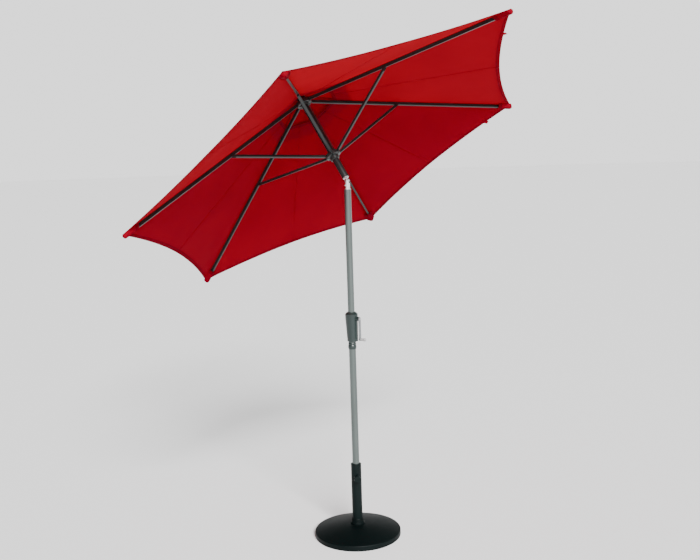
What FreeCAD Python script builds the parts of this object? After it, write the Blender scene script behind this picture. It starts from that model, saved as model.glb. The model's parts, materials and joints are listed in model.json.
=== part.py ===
import FreeCAD, Part
import Sketcher
import math
import os
import re
from FreeCAD import Placement, Rotation, Vector

# Tilting market umbrella in a weighted base.  Millimetres, +Z up.  The origin is the centre of the
# base's underside, the tilt hinge runs along Y, and the canopy leans towards -X.

os.makedirs("parts", exist_ok=True)
doc = FreeCAD.newDocument("patio_umbrella")

# ---------------------------------------------------------------- driving dimensions

SIZES = {
    # weighted base
    "base_radius": 235, "base_rim": 30, "base_top": 64, "shell_wall": 3, "pad_thick": 4,
    "rim_round": 6, "dome_outer": 0.72, "dome_outer_rise": 0.46, "dome_inner": 0.42,
    "dome_inner_rise": 0.83, "ballast_gap": 1,
    "crown_width": 16, "tube_outer": 28, "tube_wall": 2, "tube_foot": 16, "tube_top": 397,
    "skirt_width": 11, "skirt_height": 31, "bush_collar": 6, "bush_length": 55,
    "clamp_drop": 67, "clamp_turn": -45, "nut_radius": 10, "nut_length": 9,
    "screw_radius": 5, "knob_radius": 16, "knob_length": 16, "lobe_radius": 7, "lobe_count": 5,
    # mast
    "mast_radius": 19, "pole_radius": 18, "mast_wall": 1.4, "mast_foot": 22, "mast_split": 1056,
    "sleeve_below": 16, "sleeve_above": 20, "sleeve_wall": 3, "head_drop": 46,
    # crank
    "crank_height": 1206, "case_below": 123, "case_above": 34, "case_radius": 34.5,
    "case_foot_radius": 29, "case_foot_shift": 4.5, "case_wall": 2.6, "shoulder_height": 11.5,
    "shoulder_inset": 11, "boss_radius": 11, "boss_sink": 3.3, "boss_reach": 50,
    "shaft_radius": 4, "drum_radius": 9, "flange_clear": 5.5, "drum_width": 16,
    "arm_gap": 2, "arm_thick": 4.5, "arm_width": 15, "arm_length": 110, "grip_radius": 8,
    "grip_length": 34, "grip_pin": 3, "case_screw": 2, "screw_reach": 9,
    # tilt joint
    "tilt_height": 1938, "tilt_offset": 6, "tilt_angle": 34, "knuckle_radius": 13.5,
    "knuckle_slot": 10, "tongue_radius": 9, "tilt_pin_radius": 3, "tilt_pin_half": 11, "plug_depth": 42,
    "pole_start": 15, "button_radius": 4.5, "button_drop": 25, "button_proud": 4,
    "button_length": 11, "button_seat": 9, "spring_wire": 0.5,
    # hub, runner and their arms
    "hub_height": 500, "hub_radius": 42, "hub_half": 12, "arm_slot": 5, "slot_floor": 26,
    "pivot_radius": 34, "pivot_pin": 1.75, "pin_length": 16, "hub_top_radius": 24,
    "runner_radius": 42, "runner_half": 10, "collar_radius": 25.5, "collar_down": 30,
    "collar_up": 18, "arm_play": 0.9,
    # frame of the canopy
    "frame_spin": 2.8, "rib_count": 6, "tip_radius": 1200, "tip_height": 96, "joint_reach": 519,
    "rib_width": 10, "rib_deep": 16, "strut_deep": 12, "bar_wall": 1.2, "fork_plate": 1.5,
    "rivet_radius": 2, "rivet_head": 4, "tongue_thick": 4, "tongue_round": 6, "bar_start": 16,
    "cap_length": 18, "cap_proud": 1,
    # fabric
    "cloth_thick": 2, "hem_depth": 58, "gore_half_angle": 28.2, "vent_radius": 170,
    "vent_cap_radius": 280, "vent_cap_lift": 25, "vent_cap_gap": 3, "finial_radius": 21,
    "finial_height": 42, "finial_stud": 6,
    # lift cord and its pulley
    "cord_radius": 1.5, "cord_inner": 5.5, "pulley_width": 6,
    # clearances
    "fit_gap": 0.3, "run_gap": 0.05, "slide_gap": 0.4,
}

# places that follow from the sizes above
DERIVED = {
    "crown_radius": "(tube_outer + crown_width)", "skirt_outer": "(tube_outer + skirt_width)",
    "skirt_top": "(base_top + skirt_height)", "clamp_height": "(tube_top - clamp_drop)",
    "dome_outer_height": "(base_rim + (base_top - base_rim) * dome_outer_rise)",
    "dome_inner_height": "(base_rim + (base_top - base_rim) * dome_inner_rise)",
    "ballast_radius": "(base_radius - shell_wall - ballast_gap)",
    "sleeve_low": "(mast_split - sleeve_below)", "sleeve_high": "(mast_split + sleeve_above)",
    "sleeve_radius": "(mast_radius + sleeve_wall)", "mast_head": "(tilt_height - head_drop)",
    "case_low": "(crank_height - case_below)", "case_high": "(crank_height + case_above)",
    "plug_radius": "(pole_radius - mast_wall - fit_gap / 3)",
    "drum_flange": "(pole_radius - flange_clear)",
    "ring_pitch": "(360 / rib_count)", "half_pitch": "(180 / rib_count)",
}

sheet = doc.addObject("Spreadsheet::Sheet", "Sizes")
for row, (word, number) in enumerate(SIZES.items(), start=1):
    sheet.set(f"A{row}", word)
    sheet.set(f"B{row}", str(number))
    sheet.setAlias(f"B{row}", word)
doc.recompute()


def cells(text):
    """The expression with derived sizes written out and each size's name turned into its cell."""
    def cell(found):
        word = found.group()
        if word in DERIVED:
            return cells(DERIVED[word])
        return "Sizes." + word if word in SIZES else word
    return re.sub(r"[a-z]\w*", cell, str(text))


def value(text):
    """The number that an expression in the sheet's sizes stands for."""
    answer = sheet.evalExpression(cells(text))
    return float(getattr(answer, "Value", answer))


def spot(x=0, y=0, z=0):
    return Vector(value(x), value(y), value(z))


def at(x=0, y=0, z=0, axis=(0, 0, 1), turn=0):
    """A placement: turned by an angle about an axis, then moved to a point."""
    return Placement(spot(x, y, z), Rotation(Vector(*axis), value(turn)))


ALONG_X = ((0, 1, 0), 90)
ALONG_Y = ((1, 0, 0), -90)

# ---------------------------------------------------------------- pieces and how they are made

pieces = {}


def primitive(kind, name, where, sizes):
    thing = doc.addObject("Part::" + kind, name)
    for prop, text in sizes.items():
        thing.setExpression(prop, cells(text))
    thing.Placement = where
    return thing


def cylinder(name, radius, height, where=Placement()):
    return primitive("Cylinder", name, where, {"Radius": radius, "Height": height})


def rod(name, radius, start, length, x=0, y=0, z=0, along=ALONG_Y):
    """A round bar along X or Y, from start for length, through the point x, y, z."""
    shift = Vector(value(start), 0, 0) if along is ALONG_X else Vector(0, value(start), 0)
    where = Placement(spot(x, y, z) + shift, Rotation(Vector(*along[0]), along[1]))
    return cylinder(name, radius, length, where)


def block(name, x, y, z, length, width, height):
    """A box from x, centred on y, centred on z."""
    corner = Placement(spot(x, f"{y} - ({width}) / 2", f"{z} - ({height}) / 2"), Rotation())
    return primitive("Box", name, corner, {"Length": length, "Width": width, "Height": height})


def boolean(kind, name, base, tools):
    """Part's cut, fuse or common of a base with one tool after another."""
    result = base
    for step, tool in enumerate(tools):
        after = doc.addObject("Part::" + kind, f"{name}_{step}")
        after.Base, after.Tool = result, tool
        after.Refine = False
        result = after
    return result


def cut(name, base, *tools):
    return boolean("Cut", name, base, tools)


def fuse(name, base, *tools):
    return boolean("Fuse", name, base, tools)


def common(name, base, *tools):
    return boolean("Common", name, base, tools)


def group(name, *things):
    together = doc.addObject("Part::Compound", name)
    together.Links = list(things)
    return together


def outline(body, name, role, points):
    """A closed sketch of straight sides on one of the body's planes, tied to the sheet."""
    plane = next(part for part in body.Origin.OriginFeatures if part.Role == role)
    sketch = body.newObject("Sketcher::SketchObject", name)
    sketch.AttachmentSupport = [(plane, "")]
    sketch.MapMode = "FlatFace"
    corners = [Vector(value(x), value(y), 0) for x, y in points]
    for here, there in zip(corners, corners[1:] + corners[:1]):
        sketch.addGeometry(Part.LineSegment(here, there), False)
    for side in range(len(points)):
        sketch.addConstraint(Sketcher.Constraint("Coincident", side, 2,
                                                 (side + 1) % len(points), 1))
    for side, pair in enumerate(points):
        for word, text, number, axis in (("DistanceX", pair[0], corners[side].x, -2),
                                         ("DistanceY", pair[1], corners[side].y, -1)):
            if abs(number) < 1e-9:
                sketch.addConstraint(Sketcher.Constraint("PointOnObject", side, 1, axis))
                continue
            tie = sketch.addConstraint(Sketcher.Constraint(word, -1, 1, side, 1, number))
            sketch.setExpression(f"Constraints[{tie}]", cells(text))
    return sketch


def turned(name, points):
    """A PartDesign body revolved about Z from a profile of (radius, height) points."""
    body = doc.addObject("PartDesign::Body", name)
    sketch = outline(body, name + "_profile", "XZ_Plane", points)
    solid = body.newObject("PartDesign::Revolution", name + "_turned")
    solid.Profile = sketch
    solid.ReferenceAxis = (sketch, ["V_Axis"])
    solid.Angle = 360
    body.Tip = solid
    return body


def plate(name, role, points, thickness):
    """A PartDesign body padded both ways from an outline on one of its planes."""
    body = doc.addObject("PartDesign::Body", name)
    sketch = outline(body, name + "_outline", role, points)
    solid = body.newObject("PartDesign::Pad", name + "_pad")
    solid.Profile = sketch
    solid.setExpression("Length", cells(thickness))
    solid.Midplane = True
    body.Tip = solid
    return body


def tube(name, outer, wall, low, high):
    bar = cylinder(name + "_bar", outer, f"({high}) - ({low})", at(z=low))
    bore = cylinder(name + "_bore", f"({outer}) - ({wall})", f"({high}) - ({low}) + 2",
                    at(z=f"({low}) - 1"))
    return cut(name, bar, bore)


def finish(label, thing, where=Placement()):
    """Names a finished piece and puts it in its place in the assembly."""
    piece = doc.addObject("Part::Compound", "piece_" + label)
    piece.Links = [thing]
    piece.Label = label
    piece.Placement = where
    pieces[label] = piece
    return piece


# ---------------------------------------------------------------- frames of the assembly

tilt_frame = at("-tilt_offset", 0, "tilt_height", (0, 1, 0), "-tilt_angle") * at("tilt_offset")
RIB_SLOPE = "atan((hub_height - tip_height) / (tip_radius - pivot_radius))"
RIB_LENGTH = "sqrt(pow(hub_height - tip_height; 2) + pow(tip_radius - pivot_radius; 2))"
RUNNER_HEIGHT = f"(hub_height - 2 * joint_reach * sin({RIB_SLOPE}))"
CORD_OUTER = "(pole_radius + cord_radius + 2)"
steps = range(SIZES["rib_count"])


def spoke(step):
    """The tilted frame turned to one rib's direction."""
    return tilt_frame * at(turn=f"frame_spin + {step} * ring_pitch")


# ---------------------------------------------------------------- weighted base

finish("base_pad", cylinder("pad", "base_radius - shell_wall - fit_gap", "pad_thick"))

finish("base_shell", turned("shell", [
    ("base_radius", "ballast_gap"), ("base_radius + 1", "base_rim - rim_round"),
    ("base_radius - 4", "base_rim"), ("base_radius * dome_outer", "dome_outer_height"),
    ("base_radius * dome_inner", "dome_inner_height"), ("crown_radius", "base_top"),
    ("tube_outer + fit_gap", "base_top"), ("tube_outer + fit_gap", "base_top - shell_wall"),
    ("crown_radius", "base_top - shell_wall"),
    ("base_radius * dome_inner", "dome_inner_height - shell_wall"),
    ("base_radius * dome_outer", "dome_outer_height - shell_wall"),
    ("base_radius - 4 - shell_wall", "base_rim - shell_wall"),
    ("base_radius - shell_wall", "base_rim - rim_round - 1"),
    ("base_radius - shell_wall", "ballast_gap")]))

finish("base_ballast", turned("ballast", [
    ("ballast_radius", "pad_thick"), ("ballast_radius", "base_rim - rim_round - 2"),
    ("ballast_radius - 5", "base_rim - shell_wall - 2"),
    ("base_radius * dome_outer", "dome_outer_height - shell_wall - ballast_gap"),
    ("base_radius * dome_inner", "dome_inner_height - shell_wall - ballast_gap"),
    ("crown_radius", "base_top - shell_wall - ballast_gap"),
    ("tube_outer + fit_gap", "base_top - shell_wall - ballast_gap"),
    ("tube_outer + fit_gap", "tube_foot"), (0, "tube_foot"), (0, "pad_thick")]))

finish("base_tube", cut(
    "socket", tube("socket_tube", "tube_outer", "tube_wall", "tube_foot", "tube_top"),
    rod("socket_hole", "screw_radius + fit_gap", 0, "tube_outer + 5", z="clamp_height",
        along=ALONG_X)),
       at(turn="clamp_turn"))

finish("tube_skirt", turned("skirt", [
    ("skirt_outer", "base_top"), ("skirt_outer", "base_top + 6"),
    ("tube_outer + 5", "base_top + 12"), ("tube_outer + 3.5", "skirt_top - 2"),
    ("tube_outer + 2.5", "skirt_top"), ("tube_outer + fit_gap", "skirt_top"),
    ("tube_outer + fit_gap", "base_top")]))

bush_bore = "mast_radius + slide_gap"
bush_outer = "tube_outer - tube_wall - fit_gap"
finish("tube_bushes", group(
    "bushes",
    turned("top_bush", [
        (bush_bore, "tube_top - bush_length"), (bush_outer, "tube_top - bush_length"),
        (bush_outer, "tube_top"), ("tube_outer + 0.5", "tube_top"),
        ("tube_outer + 0.5", "tube_top + bush_collar - 1.5"),
        ("tube_outer - 1", "tube_top + bush_collar"), (bush_bore, "tube_top + bush_collar")]),
    turned("foot_bush", [
        (0, "tube_foot"), (bush_outer, "tube_foot"), (bush_outer, "tube_foot + bush_length"),
        (bush_bore, "tube_foot + bush_length"), (bush_bore, "mast_foot"), (0, "mast_foot")])))

clamp_frame = at(z="clamp_height", turn="clamp_turn")
finish("clamp_nut", cut(
    "nut", rod("nut_body", "nut_radius", "tube_outer - 1.5", "nut_length + 1.5", along=ALONG_X),
    rod("nut_bore", "screw_radius + run_gap", "tube_outer - 5", "nut_length + 10", along=ALONG_X),
    cylinder("nut_seat", "tube_outer + fit_gap", 60, at(z=-30))), clamp_frame)

knob_start = "tube_outer + nut_length + 2"
lobes = []
for lobe in range(SIZES["lobe_count"]):
    angle = lobe * 360 / SIZES["lobe_count"]
    reach = value("knob_radius") - 2
    lobes.append(rod(f"lobe_{lobe}", "lobe_radius", f"{knob_start} + 1.5", "knob_length - 3",
                     y=reach * math.cos(math.radians(angle)),
                     z=reach * math.sin(math.radians(angle)), along=ALONG_X))
finish("clamp_knob", fuse(
    "knob", rod("knob_core", "knob_radius", knob_start, "knob_length", along=ALONG_X),
    rod("knob_screw", "screw_radius", "mast_radius + slide_gap", f"{knob_start} - mast_radius",
        along=ALONG_X), *lobes), clamp_frame)

# ---------------------------------------------------------------- mast

finish("lower_mast", tube("lower_mast", "mast_radius", "mast_wall", "mast_foot", "mast_split"))

finish("mast_sleeve", turned("sleeve", [
    ("mast_radius + fit_gap", "sleeve_low"), ("mast_radius + 1.5", "sleeve_low"),
    ("sleeve_radius", "sleeve_low + 5"), ("sleeve_radius + 0.6", "sleeve_low + 11"),
    ("sleeve_radius", "sleeve_low + 18"), ("sleeve_radius - 2", "sleeve_low + 23"),
    ("sleeve_radius - 0.8", "sleeve_low + 27"), ("sleeve_radius - 0.8", "sleeve_low + 30"),
    ("pole_radius + 1.5", "sleeve_high"), ("pole_radius + fit_gap", "sleeve_high"),
    ("pole_radius + fit_gap", "mast_split"), ("mast_radius + fit_gap", "mast_split")]))

finish("middle_mast", cut(
    "middle", tube("middle_tube", "pole_radius", "mast_wall", "mast_split", "mast_head"),
    rod("middle_hole", "shaft_radius + 2 + fit_gap", "-pole_radius - 5", "2 * pole_radius + 10",
        z="crank_height", along=ALONG_X)))

# ---------------------------------------------------------------- crank


def case_form(name, inset, low, high):
    """The crank case's outer form, or its hollow: a round shoulder over a tapered skirt."""
    rings = []
    for level, (radius, shift, height) in enumerate((
            (f"case_foot_radius - {inset}", "case_foot_shift", low),
            (f"case_radius - {inset}", 0, f"{high} - shoulder_height"))):
        ring = doc.addObject("Part::Circle", f"{name}_ring_{level}")
        ring.setExpression("Radius", cells(radius))
        ring.Placement = at(shift, 0, height)
        rings.append(ring)
    skirt = doc.addObject("Part::Loft", name + "_skirt")
    skirt.Sections, skirt.Solid, skirt.Ruled = rings, True, True
    shoulder = primitive("Cone", name + "_shoulder", at(z=f"{high} - shoulder_height"), {
        "Radius1": f"case_radius - {inset}",
        "Radius2": f"case_radius - shoulder_inset - {inset}", "Height": "shoulder_height"})
    return fuse(name, skirt, shoulder)


case_shell = cut(
    "case_shell", case_form("case_outside", "0", "case_low", "case_high"),
    case_form("case_inside", "case_wall", "case_low + case_wall", "case_high - case_wall"),
    cylinder("case_mast_hole", "pole_radius + fit_gap", 400, at(z="case_low - 50")))
boss = rod("boss", "boss_radius", "case_radius - boss_sink", "boss_reach - case_radius + boss_sink",
           z="crank_height", along=ALONG_X)
shaft_hole = rod("case_shaft_hole", "shaft_radius + 2 + fit_gap", "pole_radius + 2",
                 "boss_reach", z="crank_height", along=ALONG_X)
screw_spots = [(side, height) for height in ("case_low + 16", "case_high - 30") for side in (-1, 1)]
ears, screws, screw_holes = [], [], []
for number, (side, height) in enumerate(screw_spots):
    across = f"{side} * (pole_radius + 5)"
    ears.append(common(
        f"ear_{number}", case_form(f"ear_limit_{number}", "0.5", "case_low + 0.5",
                                   "case_high - 0.5"),
        rod(f"ear_bar_{number}", "case_screw + 2.2", -40, 80, y=across, z=height, along=ALONG_X)))
    screw_holes.append(rod(f"screw_hole_{number}", "case_screw + run_gap", "-screw_reach",
                           "2 * screw_reach + 1", y=across, z=height, along=ALONG_X))
    screw_holes.append(rod(f"screw_recess_{number}", "case_screw + 1.6 + fit_gap", -50,
                           "50 - screw_reach", y=across, z=height, along=ALONG_X))
    screws.append(fuse(
        f"screw_{number}", rod(f"screw_shank_{number}", "case_screw", "-screw_reach",
                               "2 * screw_reach", y=across, z=height, along=ALONG_X),
        rod(f"screw_head_{number}", "case_screw + 1.6", "-screw_reach - 3.2", 3.2, y=across,
            z=height, along=ALONG_X)))
whole_case = cut("drilled_case", fuse("case_with_boss", case_shell, boss, *ears), shaft_hole,
                 *screw_holes)
for label, start in (("housing_front", -100), ("housing_rear", 0)):
    finish(label, cut(label + "_half", whole_case,
                      block(label + "_cut", start, 0, "crank_height", 100, 200, 400)))
finish("housing_screws", group("screws", *screws))

arm_start = "boss_reach + arm_gap"
finish("crank_shaft", rod("shaft", "shaft_radius", "-pole_radius - 6",
                          f"pole_radius + 6 + {arm_start} + arm_thick + 3", z="crank_height",
                          along=ALONG_X))
drum_flanges = [rod(f"flange_{side}", "drum_flange", f"{side} * drum_width / 2 - 0.75", 1.5,
                    z="crank_height", along=ALONG_X) for side in (-1, 1)]
finish("cord_drum", cut(
    "drum", fuse("drum_body", rod("drum_core", "drum_radius", "-drum_width / 2", "drum_width",
                                  z="crank_height", along=ALONG_X), *drum_flanges),
    rod("drum_bore", "shaft_radius", "-drum_width", "2 * drum_width", z="crank_height",
        along=ALONG_X)))
bush_runs = (("-pole_radius - 5", 6), ("pole_radius - 1", "boss_reach - pole_radius + 1"))
finish("shaft_bushes", group("shaft_bushes", *[cut(
    f"shaft_bush_{number}",
    rod(f"shaft_bush_body_{number}", "shaft_radius + 2", start, length, z="crank_height",
        along=ALONG_X),
    rod(f"shaft_bush_bore_{number}", "shaft_radius + run_gap", f"{start} - 5", f"{length} + 10",
        z="crank_height", along=ALONG_X))
    for number, (start, length) in enumerate(bush_runs)]))

arm_eyes = [rod(f"arm_eye_{number}", "arm_width / 2 + 1.5", arm_start, "arm_thick", z=height,
                along=ALONG_X)
            for number, height in enumerate(("crank_height", "crank_height - arm_length"))]
finish("crank_arm", cut(
    "arm", fuse("arm_body", block("arm_bar", arm_start, 0, "crank_height - arm_length / 2",
                                  "arm_thick", "arm_width", "arm_length"), *arm_eyes,
                rod("arm_stem", "grip_pin", arm_start, "arm_thick + grip_length - 4",
                    z="crank_height - arm_length", along=ALONG_X)),
    rod("arm_bore", "shaft_radius", arm_start, "arm_thick", z="crank_height", along=ALONG_X)))

grip_start = f"({arm_start} + arm_thick + 1)"
grip = turned("grip", [
    ("grip_pin + run_gap", 0), ("grip_radius - 2", 0), ("grip_radius - 0.8", 4),
    ("grip_radius - 1.4", "grip_length * 0.45"), ("grip_radius", "grip_length - 8"),
    ("grip_radius - 0.6", "grip_length - 2"), ("grip_radius - 2.5", "grip_length"),
    (0, "grip_length"), (0, "grip_length - 4"), ("grip_pin + run_gap", "grip_length - 4")])
finish("crank_knob", grip, at(grip_start, 0, "crank_height - arm_length", *ALONG_X))

# ---------------------------------------------------------------- tilt joint

knuckle_blank = common(
    "knuckle_blank",
    fuse("knuckle_stack",
         cylinder("knuckle_neck", "knuckle_radius", "tilt_height + 30 - mast_head",
                  at(z="mast_head")),
         cylinder("knuckle_plug", "plug_radius", "plug_depth", at(z="mast_head - plug_depth")),
         cylinder("knuckle_flange", "pole_radius", 3, at(z="mast_head"))),
    fuse("knuckle_limit",
         block("knuckle_below", -40, 0, "tilt_height - 102", 80, 80, 200),
         rod("knuckle_crown", "tongue_radius + 2", -40, 80, x="-tilt_offset", z="tilt_height")))
finish("tilt_knuckle", cut(
    "knuckle", knuckle_blank,
    block("knuckle_gap", -40, 0, "tilt_height + 42 - tongue_radius - 5", 80, "knuckle_slot", 84),
    rod("knuckle_pin_hole", "tilt_pin_radius", -40, 80, x="-tilt_offset", z="tilt_height"),
    rod("knuckle_spot_0", "tilt_pin_radius + 2.2", "-tilt_pin_half - 20", 20, x="-tilt_offset",
        z="tilt_height"),
    rod("knuckle_spot_1", "tilt_pin_radius + 2.2", "tilt_pin_half", 20, x="-tilt_offset",
        z="tilt_height"),
    cylinder("knuckle_cord_bore", "cord_radius + 2.8", 200, at(x=6, z="mast_head - 60")),
    rod("button_bore", "button_radius + run_gap", "-knuckle_radius - 2",
        "knuckle_radius + 2 + button_seat", x=-4, z="tilt_height - button_drop")))

finish("tilt_pin", fuse(
    "tilt_pin", rod("tilt_pin_bar", "tilt_pin_radius", "-tilt_pin_half", "2 * tilt_pin_half",
                    x="-tilt_offset", z="tilt_height"),
    rod("tilt_pin_head_0", "tilt_pin_radius + 2", "-tilt_pin_half - 2.5", 2.5,
        x="-tilt_offset", z="tilt_height"),
    rod("tilt_pin_head_1", "tilt_pin_radius + 2", "tilt_pin_half", 2.5, x="-tilt_offset",
        z="tilt_height")))

button_front = "-(knuckle_radius + button_proud)"
finish("tilt_button", rod("button", "button_radius", button_front, "button_length", x=-4,
                          z="tilt_height - button_drop"))


def coil(wire, radius, pitch, height):
    """A round-wire helical spring about Z, from the sheet's own sizes."""
    path = Part.makeHelix(pitch, height, radius)
    section = Part.Wire(Part.makeCircle(wire, Vector(radius, 0, 0), Vector(0, 1, 0)))
    return Part.Wire(path).makePipeShell([section], True, True)


spring_room = "(knuckle_radius + button_proud - button_length + button_seat)"
spring = doc.addObject("Part::Feature", "spring")
spring.Shape = coil(value("spring_wire"), value("button_radius - 1.5"), 2.2,
                    value(f"{spring_room} - 2 * spring_wire"))
spring.Placement = at(-4, f"{button_front} + button_length + spring_wire",
                      "tilt_height - button_drop", *ALONG_Y)
finish("button_spring", spring)

finish("tilt_yoke", cut(
    "yoke", fuse(
        "yoke_body",
        cylinder("yoke_plug", "plug_radius", "plug_depth", at(z="pole_start")),
        cylinder("yoke_flange", "pole_radius - 2", 3, at(z="pole_start - 3")),
        block("yoke_tongue", "-tilt_offset - tongue_radius", 0, "pole_start / 2",
              "2 * tongue_radius", "knuckle_slot - 2 * fit_gap", "pole_start"),
        rod("yoke_round", "tongue_radius", "-knuckle_slot / 2 + fit_gap",
            "knuckle_slot - 2 * fit_gap", x="-tilt_offset")),
    rod("yoke_pin_hole", "tilt_pin_radius + run_gap", -40, 80, x="-tilt_offset"),
    cylinder("yoke_cord_bore", "cord_radius + 2.5", 200, at(x=6, z=-20))), tilt_frame)

finish("upper_pole", tube("upper", "pole_radius", "mast_wall", "pole_start",
                          "hub_height + hub_half - 2"), tilt_frame)

# ---------------------------------------------------------------- hub, pulley and runner

cord_turn = "frame_spin + half_pitch"
cord_frame = tilt_frame * at(turn=cord_turn)


def pivots(name, height, shape, **extra):
    """One tool at each arm of the hub or runner: its slot or its pin."""
    tools = []
    for step in steps:
        if shape == "slot":
            tool = block(f"{name}_{step}", "slot_floor", 0, 0, 40, "arm_slot", 60)
        else:
            tool = rod(f"{name}_{step}", extra["radius"], "-pin_length / 2", "pin_length",
                       x="pivot_radius")
        tool.Placement = at(z=height, turn=f"frame_spin + {step} * ring_pitch") * tool.Placement
        tools.append(tool)
    return tools


hub_blank = turned("hub_blank", [
    ("pole_radius + run_gap", "hub_height - hub_half - 6"),
    ("pole_radius + 6", "hub_height - hub_half - 6"), ("pole_radius + 8", "hub_height - hub_half"),
    ("hub_radius - 1.5", "hub_height - hub_half"), ("hub_radius", "hub_height - hub_half + 1.5"),
    ("hub_radius", "hub_height + hub_half - 4"), ("hub_radius - 5", "hub_height + hub_half"),
    ("hub_top_radius", "hub_height + hub_half"), ("hub_top_radius", "hub_height + hub_half + 27"),
    ("finial_stud", "hub_height + hub_half + 27"), ("finial_stud", "hub_height + hub_half + 62"),
    (0, "hub_height + hub_half + 62"), (0, "hub_height + hub_half - 2"),
    ("pole_radius + run_gap", "hub_height + hub_half - 2")])
pulley_groove = f"(({CORD_OUTER} - cord_inner) / 2)"
pulley_centre = f"(({CORD_OUTER} + cord_inner) / 2)"
pulley_height = "hub_height + hub_half + 11"
pulley_turn = at(turn=cord_turn)
pulley_slot = block("pulley_slot", "cord_inner - 5", 0, pulley_height, 60, "pulley_width + 1", 24)
pulley_slot.Placement = pulley_turn * pulley_slot.Placement
pulley_hole = rod("pulley_hole", 2, "-hub_top_radius", "2 * hub_top_radius", x=pulley_centre,
                  z=pulley_height)
pulley_hole.Placement = pulley_turn * pulley_hole.Placement
cord_holes = []
for name, radial in (("cord_hole_in", "cord_inner"), ("cord_hole_out", CORD_OUTER)):
    hole = cylinder(name, "cord_radius + 0.6", 80, at(radial, 0, "hub_height - 40"))
    hole.Placement = pulley_turn * hole.Placement
    cord_holes.append(hole)
finish("hub", cut("hub", hub_blank, *pivots("hub_slot", "hub_height", "slot"),
                  *pivots("hub_pin_hole", "hub_height", "pin", radius="pivot_pin"),
                  pulley_slot, pulley_hole, *cord_holes), tilt_frame)
finish("hub_pins", group("hub_pins", *pivots("hub_pin", "hub_height", "pin", radius="pivot_pin")),
       tilt_frame)

finish("pulley", turned("wheel", [
    ("2 + run_gap", "-pulley_width / 2"), (f"{pulley_groove} + 1", "-pulley_width / 2"),
    (f"{pulley_groove} + 1", "-pulley_width / 2 + 1"),
    (f"{pulley_groove} - cord_radius - 0.2", "-cord_radius"),
    (f"{pulley_groove} - cord_radius - 0.2", "cord_radius"),
    (f"{pulley_groove} + 1", "pulley_width / 2 - 1"), (f"{pulley_groove} + 1", "pulley_width / 2"),
    ("2 + run_gap", "pulley_width / 2")]),
       cord_frame * at(pulley_centre, 0, pulley_height, *ALONG_Y))
finish("pulley_pin", rod("pulley_pin", 2, "-pulley_width", "2 * pulley_width", x=pulley_centre,
                         z=pulley_height), cord_frame)

runner_blank = turned("runner_blank", [
    ("pole_radius + slide_gap", f"{RUNNER_HEIGHT} - collar_down"),
    ("collar_radius - 3", f"{RUNNER_HEIGHT} - collar_down"),
    ("collar_radius - 1", f"{RUNNER_HEIGHT} - collar_down + 2"),
    ("collar_radius", f"{RUNNER_HEIGHT} - runner_half - 4"),
    ("runner_radius - 2", f"{RUNNER_HEIGHT} - runner_half"),
    ("runner_radius", f"{RUNNER_HEIGHT} - runner_half + 2"),
    ("runner_radius", f"{RUNNER_HEIGHT} + runner_half - 2"),
    ("runner_radius - 2", f"{RUNNER_HEIGHT} + runner_half"),
    ("collar_radius", f"{RUNNER_HEIGHT} + runner_half"),
    ("collar_radius - 1", f"{RUNNER_HEIGHT} + collar_up"),
    ("pole_radius + slide_gap", f"{RUNNER_HEIGHT} + collar_up")])
finish("runner", cut("runner", runner_blank, *pivots("runner_slot", RUNNER_HEIGHT, "slot"),
                     *pivots("runner_pin_hole", RUNNER_HEIGHT, "pin", radius="pivot_pin")),
       tilt_frame)
finish("runner_pins", group("runner_pins", *pivots("runner_pin", RUNNER_HEIGHT, "pin",
                                                   radius="pivot_pin")), tilt_frame)

# ---------------------------------------------------------------- ribs and struts


def hollow_bar(name, start, length, width, depth):
    outer = block(name + "_outer", start, 0, 0, length, width, depth)
    inner = block(name + "_inner", f"{start} + 14", 0, 0, f"{length} - 13",
                  f"{width} - 2 * bar_wall", f"{depth} - 2 * bar_wall")
    return cut(name + "_bar", outer, inner)


def tongue(name, reach, pin):
    """The flat eye at an arm's end, round its pivot at the local origin."""
    eye = fuse(name + "_eye", block(name + "_flat", 0, 0, 0, reach, "tongue_thick",
                                    "2 * tongue_round"),
               rod(name + "_round", "tongue_round", "-tongue_thick / 2", "tongue_thick"))
    return cut(name, eye, rod(name + "_hole", pin, -20, 40))


rib_end = f"({RIB_LENGTH} - cap_length - 2)"
rib = cut("rib", fuse("rib_body", hollow_bar("rib", "bar_start", f"{rib_end} - bar_start",
                                             "rib_width", "rib_deep"),
                      tongue("rib_tongue", "bar_start + 2", "pivot_pin + run_gap")),
          rod("rib_rivet_hole", "rivet_radius + run_gap", -20, 40, x="joint_reach"))
rib_cap = fuse(
    "rib_cap", block("cap_plug", f"{rib_end} - 18", 0, 0, 19, "rib_width - 2 * bar_wall - fit_gap",
                     "rib_deep - 2 * bar_wall - fit_gap"),
    block("cap_head", rib_end, 0, 0, "cap_length - 9", "rib_width + 2 * cap_proud",
          "rib_deep + 2 * cap_proud"),
    rod("cap_nose", "rib_deep / 2 + cap_proud", "-rib_width / 2 - cap_proud",
        "rib_width + 2 * cap_proud", x=f"{rib_end} + cap_length - 9"))
cap_keep = block("cap_keep", f"{rib_end} - 20", 0, 0, "20 + cap_length", 40, 40)
rib_cap = common("rib_cap_trimmed", rib_cap, cap_keep)

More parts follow.
